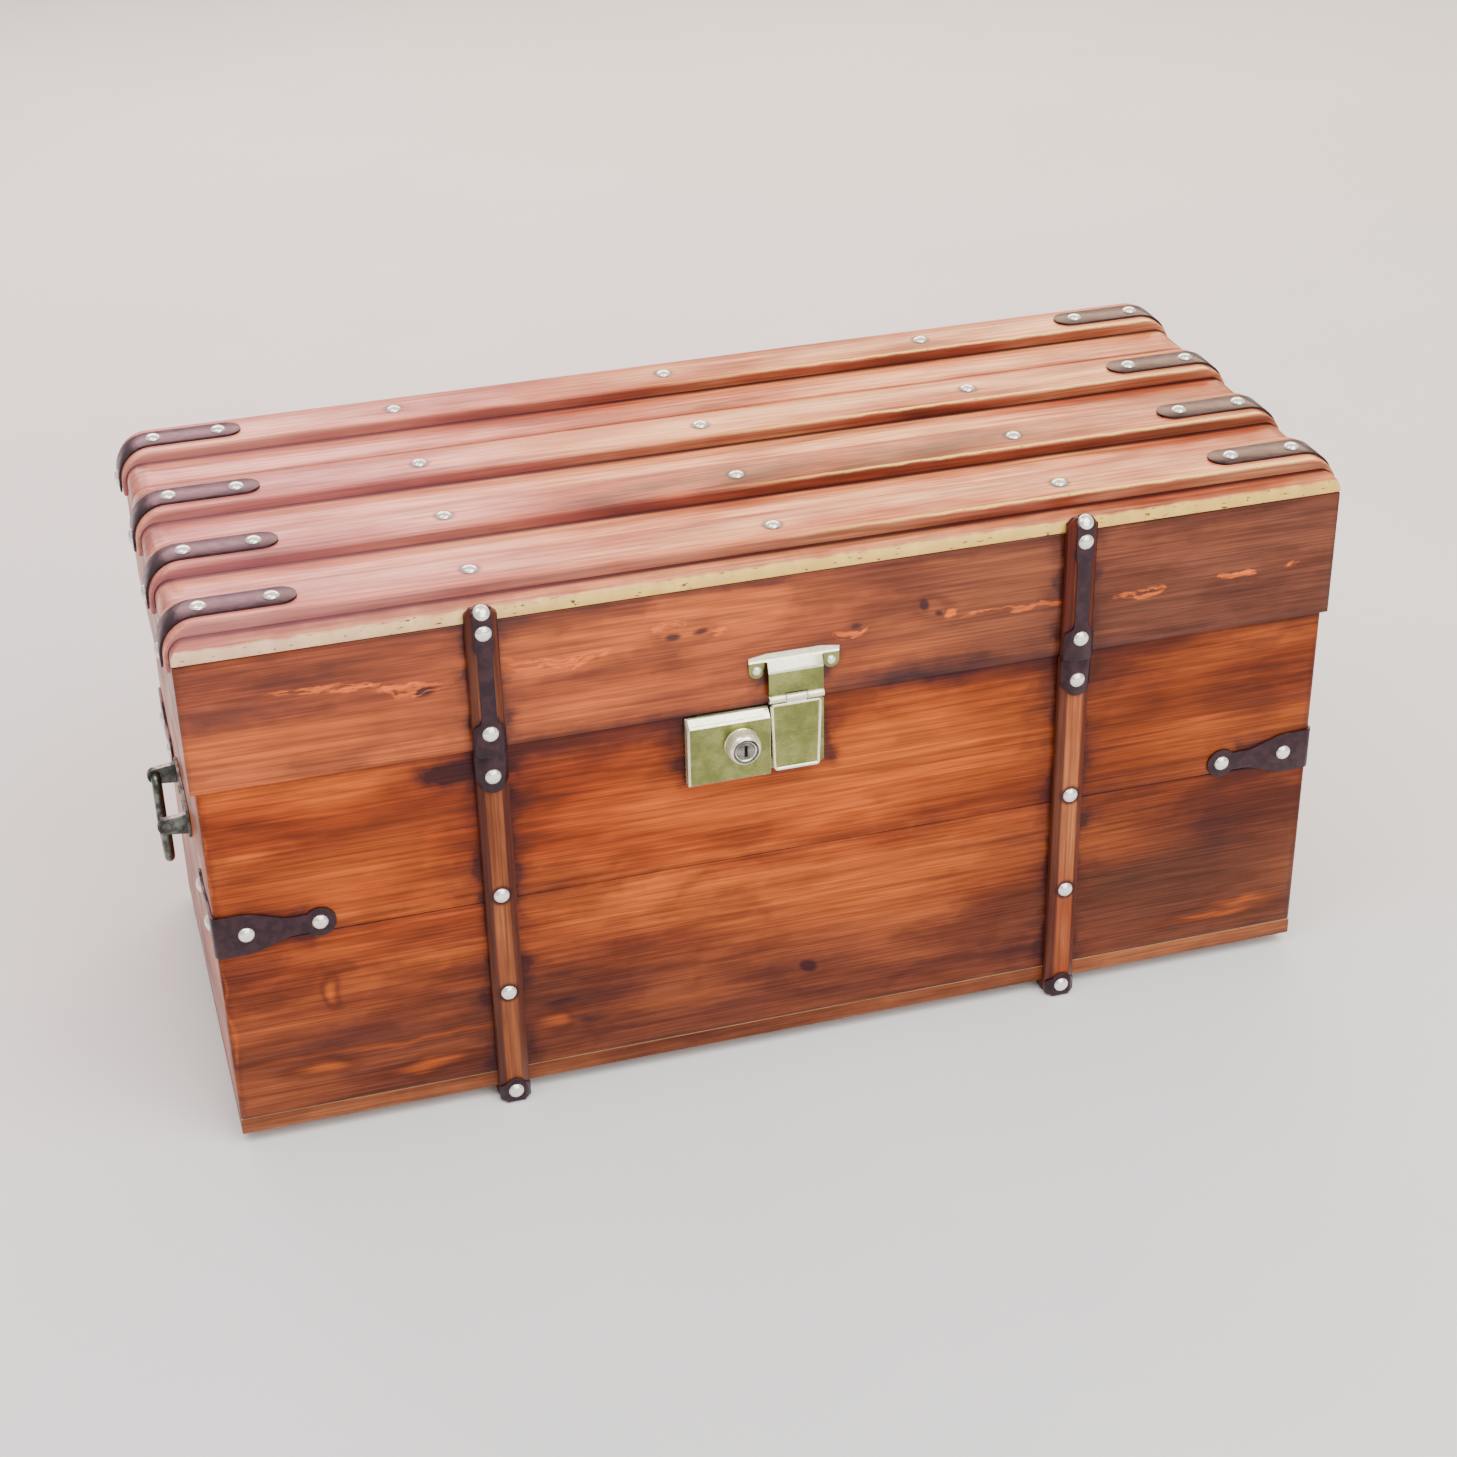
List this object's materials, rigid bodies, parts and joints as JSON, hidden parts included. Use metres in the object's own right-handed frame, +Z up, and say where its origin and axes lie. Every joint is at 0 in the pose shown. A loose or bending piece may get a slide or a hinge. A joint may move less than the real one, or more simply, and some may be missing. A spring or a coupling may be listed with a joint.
{
  "type": "travel trunk",
  "caption": "Wooden travel trunk with a slatted flat lid, nailed iron straps, corner bands, a brass hasp lock and drop handles.",
  "frame": {"origin": "middle of the footprint, on the floor under the runners", "axes": "+X along the trunk to its right end, +Y from the front with the lock to the back, +Z up"},
  "size_m": [0.8714, 0.3776, 0.4194],
  "materials": {
    "front_pine": "stained pine under glossy varnish",
    "top_pine": "stained pine under glossy varnish, paler",
    "batten_pine": "stained pine under varnish, darker",
    "black_iron": "blackened, worn",
    "lock_brass": "lacquered, pale, worn",
    "handle_iron": "dark, smooth"
  },
  "bodies": {
    "base": {"base_bottom_board": "front_pine", "base_front_lower_board": "front_pine", "base_front_upper_board": "front_pine", "base_back_board": "front_pine", "base_left_end": "front_pine", "base_right_end": "front_pine", "base_front_batten_left": "batten_pine", "base_front_batten_right": "batten_pine", "base_back_batten_left": "batten_pine", "base_back_batten_right": "batten_pine", "bottom_runner_left": "batten_pine", "bottom_runner_right": "batten_pine", "batten_seam_cap_left": "black_iron", "batten_seam_cap_right": "black_iron", "batten_foot_cap_left": "black_iron", "batten_foot_cap_right": "black_iron", "corner_band_front_left": "black_iron", "corner_band_front_right": "black_iron", "corner_band_rear_left": "black_iron", "corner_band_rear_right": "black_iron", "lock_plate": "lock_brass", "lock_case": "lock_brass", "lock_barrel": "lock_brass", "hinge_base_leaf_left": "black_iron", "hinge_base_leaf_right": "black_iron", "handle_bracket_left": "handle_iron", "handle_bracket_right": "handle_iron"},
    "lid": {"lid_front_board": "front_pine", "lid_back_board": "front_pine", "lid_left_end": "front_pine", "lid_right_end": "front_pine", "lid_top_board_front": "top_pine", "lid_top_board_middle": "top_pine", "lid_top_board_rear": "top_pine", "lid_slat_1": "top_pine", "lid_slat_2": "top_pine", "lid_slat_3": "top_pine", "lid_slat_4": "top_pine", "slat_strap_left_1": "black_iron", "slat_strap_left_2": "black_iron", "slat_strap_left_3": "black_iron", "slat_strap_left_4": "black_iron", "slat_strap_right_1": "black_iron", "slat_strap_right_2": "black_iron", "slat_strap_right_3": "black_iron", "slat_strap_right_4": "black_iron", "lid_front_batten_left": "batten_pine", "lid_front_batten_right": "batten_pine", "lid_batten_iron_left": "black_iron", "lid_batten_iron_right": "black_iron", "lid_back_batten_left": "batten_pine", "lid_back_batten_right": "batten_pine", "hasp_hinge_plate": "lock_brass", "hinge_lid_leaf_left": "black_iron", "hinge_lid_leaf_right": "black_iron"},
    "hasp": {"hasp": "lock_brass"},
    "key": {"key_plug": "lock_brass"},
    "bolt": {"lock_bolt": "handle_iron"},
    "left_handle": {"handle_bail_left": "handle_iron"},
    "right_handle": {"handle_bail_right": "handle_iron"}
  },
  "joints": [
    {"name": "lid_hinge", "type": "hinge", "parent": "base", "child": "lid", "pos_m": [0, 0.18061, 0.2947], "axis": [-1, 0, 0], "range_deg": [0, 100]},
    {"name": "hasp_hinge", "type": "hinge", "parent": "lid", "child": "hasp", "pos_m": [0.0035, -0.17459, 0.3008], "axis": [-1, 0, 0], "range_deg": [0, 150]},
    {"name": "key_turn", "type": "hinge", "parent": "base", "child": "key", "pos_m": [-0.0375, -0.16639, 0.2708], "axis": [0, -1, 0], "range_deg": [0, 90]},
    {"name": "bolt_slide", "type": "slide", "parent": "base", "child": "bolt", "axis": [1, 0, 0], "range_m": [0, 0.0115]},
    {"name": "left_handle_hinge", "type": "hinge", "parent": "base", "child": "left_handle", "pos_m": [-0.4295, 0.00461, 0.1943], "axis": [0, 1, 0], "range_deg": [0, 100]},
    {"name": "right_handle_hinge", "type": "hinge", "parent": "base", "child": "right_handle", "pos_m": [0.4295, 0.00461, 0.1943], "axis": [0, -1, 0], "range_deg": [0, 100]}
  ],
  "couplings": [
    {"joint": "bolt_slide", "follows": "key_turn", "m_per_rad": 0.00732}
  ]
}
